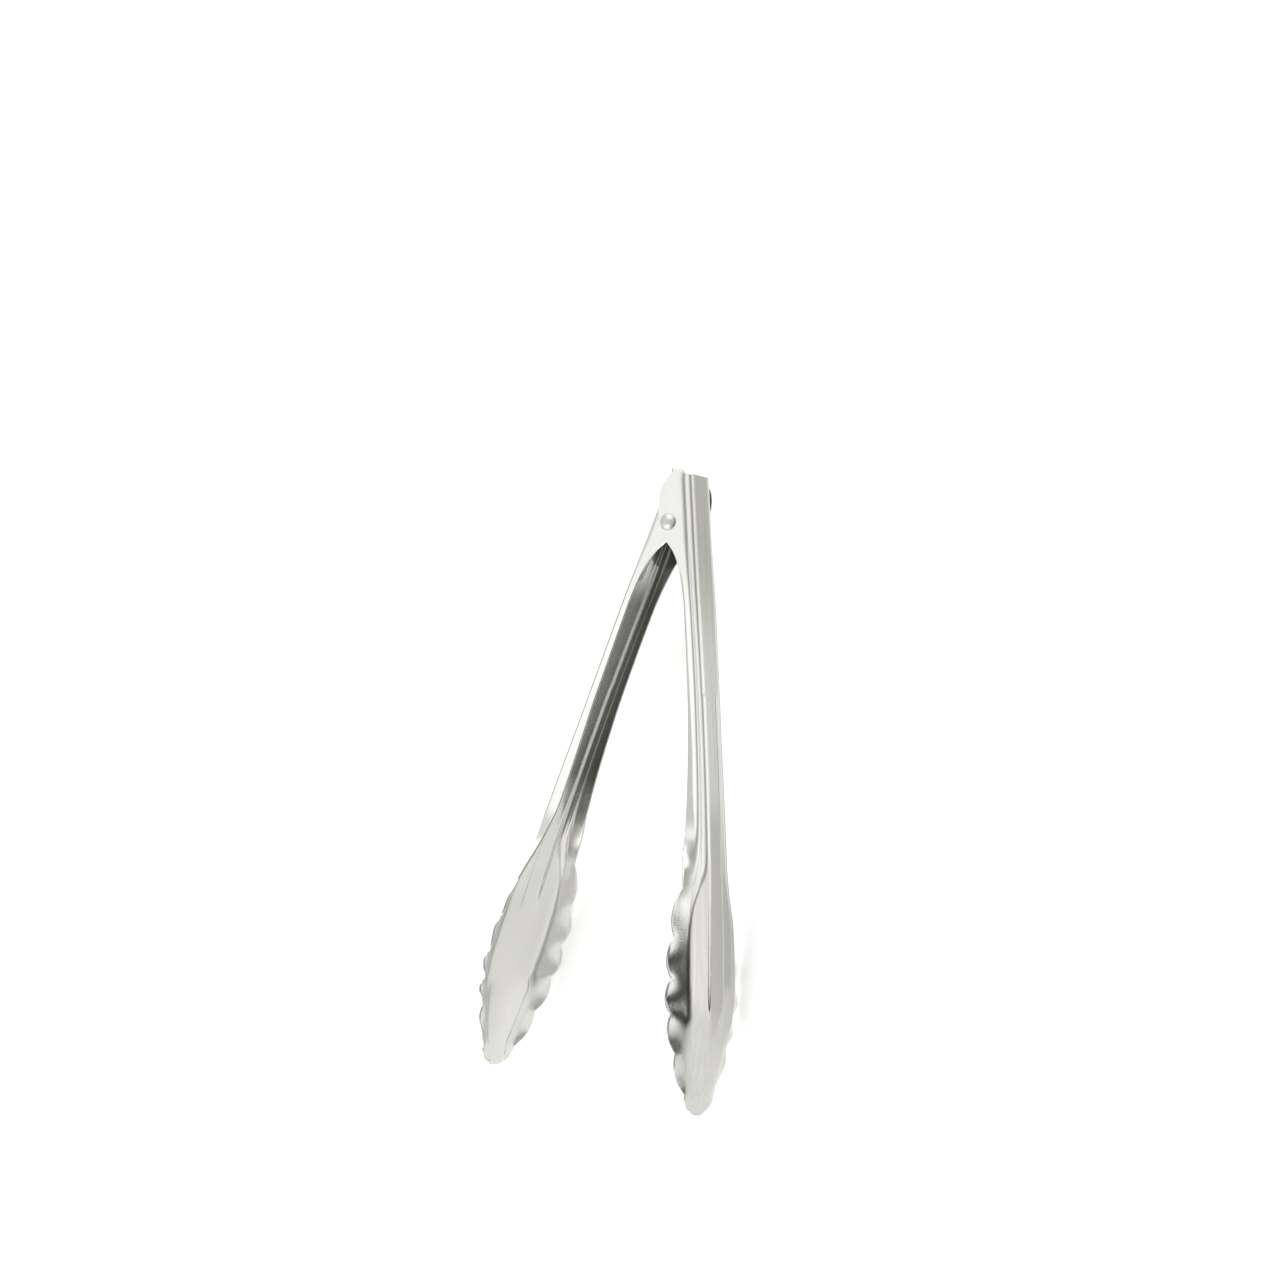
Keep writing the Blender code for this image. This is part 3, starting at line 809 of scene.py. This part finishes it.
def tube(name, path, radius, sides):
    """A round wire along a path, its ends closed by two shrinking rings."""
    points = [np.array(p) for p in path]
    first, last = points[0], points[-1]
    into, out = unit(points[1] - first), unit(last - points[-2])
    rings = [(first - into * radius * 0.5, into, 0.62), (first - into * radius * 0.25, into, 0.88)]
    for i, p in enumerate(points):
        ahead = points[min(i + 1, len(points) - 1)] - points[max(i - 1, 0)]
        rings.append((p, unit(ahead), 1.0))
    rings += [(last + out * radius * 0.25, out, 0.88), (last + out * radius * 0.5, out, 0.62)]
    side = unit(np.cross(rings[0][1], (0, 0, 1.0)))
    bm = bmesh.new()
    loops = []
    for centre, heading, size in rings:
        side = unit(side - heading * np.dot(side, heading))
        up = np.cross(heading, side)
        loop = []
        for k in range(sides):
            a = 2 * math.pi * k / sides
            spoke = side * math.cos(a) + up * math.sin(a)
            loop.append(bm.verts.new(tuple((centre + radius * size * spoke) * MM)))
        loops.append(loop)
    for low, high in zip(loops, loops[1:]):
        for k in range(sides):
            bm.faces.new((low[k], low[(k + 1) % sides], high[(k + 1) % sides], high[k]))
    bm.faces.new(loops[0])
    bm.faces.new(loops[-1])
    return smooth_mesh(name, bm)


spring = link("hinge_spring", tube("hinge_spring", spring_path(), WIRE_RADIUS, WIRE_SIDES))
spring.data.materials.append(plain_steel("spring_wire", (0.30, 0.30, 0.29, 1), (0.42, 0.42, 0.40, 1),
                                         0.28, 0.42, (1500.0, 1500.0, 1500.0)))
spring.location = PIVOT
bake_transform(spring)
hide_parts("torsion_spring")


# ---------------------------------------------------------------- floor, light and camera

FLOOR_HALF = 6.0
FLOOR_GAP = 0.0002          # keeps the floor just clear of the lowest scallops

SKY_LEVEL = 0.95
SKY_LEAST = 0.02

# Where the sky is brighter or darker: direction, inner and outer angle in degrees, change.
SKY_PATCHES = (((-0.50, 0.09, 0.86), 12, 32, 0.50),
               ((0.39, 0.35, 0.85), 6, 22, -0.26),
               ((0.036, 0.205, 0.978), 6, 26, -0.28),
               ((0.82, 0.43, 0.37), 6, 20, 0.45),
               ((0.6, -0.35, 0.72), 6, 22, -0.5),
               ((0.05, 0.87, 0.5), 10, 28, 5.0),
               ((-0.05, -0.87, 0.5), 10, 28, 5.0))

# The camera's direction and roll in degrees, its distance and side shifts in metres.
AZIMUTH = 36.33
ELEVATION = -4.18
ROLL = -9.13
DISTANCE = 0.86118
SHIFT_RIGHT = -0.01539
SHIFT_UP = -0.04146
LENS = 66.24


def floor():
    n = Nodes("floor_paper")
    cloud = n.noise((6.0, 6.0, 6.0), 3.0, 0.5)
    n.put(n.shader.inputs["Base Color"], n.mix(cloud, (0.90, 0.90, 0.895, 1), (0.93, 0.93, 0.925, 1)))
    n.shader.inputs["Roughness"].default_value = 0.9
    n.shader.inputs["Specular IOR Level"].default_value = 0.1
    plane = square("studio_floor", FLOOR_HALF, n.material)
    plane.location.z = -FLOOR_GAP


class Sky:
    """The studio's light: a world whose brightness changes softly with direction."""

    def __init__(self):
        self.world = bpy.data.worlds.new("studio")
        self.world.use_nodes = True
        self.tree = self.world.node_tree
        self.heading = self.tree.nodes.new("ShaderNodeTexCoord").outputs["Generated"]
        self.level = SKY_LEVEL

    def link(self, value, socket):
        if isinstance(value, bpy.types.NodeSocket):
            self.tree.links.new(value, socket)
        else:
            socket.default_value = value

    def math(self, operation, a, b=0.0):
        made = self.tree.nodes.new("ShaderNodeMath")
        made.operation = operation
        self.link(a, made.inputs[0])
        self.link(b, made.inputs[1])
        return made.outputs[0]

    def patch(self, direction, inner, outer, amount):
        """Adds light, or takes it away, within an angle of a direction, in degrees."""
        towards = self.tree.nodes.new("ShaderNodeVectorMath")
        towards.operation = "DOT_PRODUCT"
        self.link(self.heading, towards.inputs[0])
        towards.inputs[1].default_value = Vector(direction).normalized()
        edge = self.tree.nodes.new("ShaderNodeMapRange")
        edge.interpolation_type = "SMOOTHSTEP"
        self.link(towards.outputs["Value"], edge.inputs["Value"])
        edge.inputs["From Min"].default_value = math.cos(math.radians(outer))
        edge.inputs["From Max"].default_value = math.cos(math.radians(inner))
        edge.inputs["To Min"].default_value = 0.0
        edge.inputs["To Max"].default_value = amount
        self.level = self.math("ADD", self.level, edge.outputs["Result"])

    def finish(self):
        back = self.tree.nodes["Background"]
        back.inputs["Color"].default_value = (1.0, 1.0, 0.99, 1)
        self.link(self.math("MAXIMUM", self.level, SKY_LEAST), back.inputs["Strength"])
        bpy.context.scene.world = self.world


def card(name, x, y_low, y_high, height):
    """A dark card that stands beside the tongs, seen only in their reflections."""
    n = Nodes(name)
    cloud = n.noise((8.0, 8.0, 8.0), 2.0)
    n.put(n.shader.inputs["Base Color"], n.mix(cloud, (0.03, 0.03, 0.03, 1), (0.05, 0.05, 0.05, 1)))
    n.shader.inputs["Roughness"].default_value = 0.9
    board = square(name, 0.5, n.material)
    board.location = (x, (y_low + y_high) / 2, height / 2)
    board.scale = (y_high - y_low, height, 1)
    board.rotation_euler = (math.radians(90), 0, math.radians(90))
    board.visible_camera = False
    board.visible_shadow = False


def studio():
    sky = Sky()
    for patch in SKY_PATCHES:
        sky.patch(*patch)
    sky.finish()
    card("dark_card", 0.32, -0.26, 0.045, 0.10)
    bpy.context.scene.view_settings.view_transform = "Standard"


def camera():
    """A camera above the tongs and to their right, with the hinge end up the picture."""
    azimuth, elevation, roll = (math.radians(angle) for angle in (AZIMUTH, ELEVATION, ROLL))
    back = Vector((math.sin(azimuth) * math.cos(elevation), math.sin(elevation),
                   math.cos(azimuth) * math.cos(elevation)))
    up = Vector((0, 1, 0)) - back * back.y
    up.normalize()
    right = up.cross(back)
    image_right = math.cos(roll) * right - math.sin(roll) * up
    image_up = math.sin(roll) * right + math.cos(roll) * up
    place = PIVOT + image_right * SHIFT_RIGHT + image_up * SHIFT_UP + back * DISTANCE
    data = bpy.data.cameras.new("camera")
    data.lens = LENS
    data.sensor_width = 36.0
    data.clip_start = 0.01
    data.clip_end = 100.0
    cam = link("camera", data)
    cam.matrix_world = Matrix((
        (image_right.x, image_up.x, back.x, place.x),
        (image_right.y, image_up.y, back.y, place.y),
        (image_right.z, image_up.z, back.z, place.z),
        (0, 0, 0, 1)))
    bpy.context.scene.camera = cam


floor()
studio()
camera()
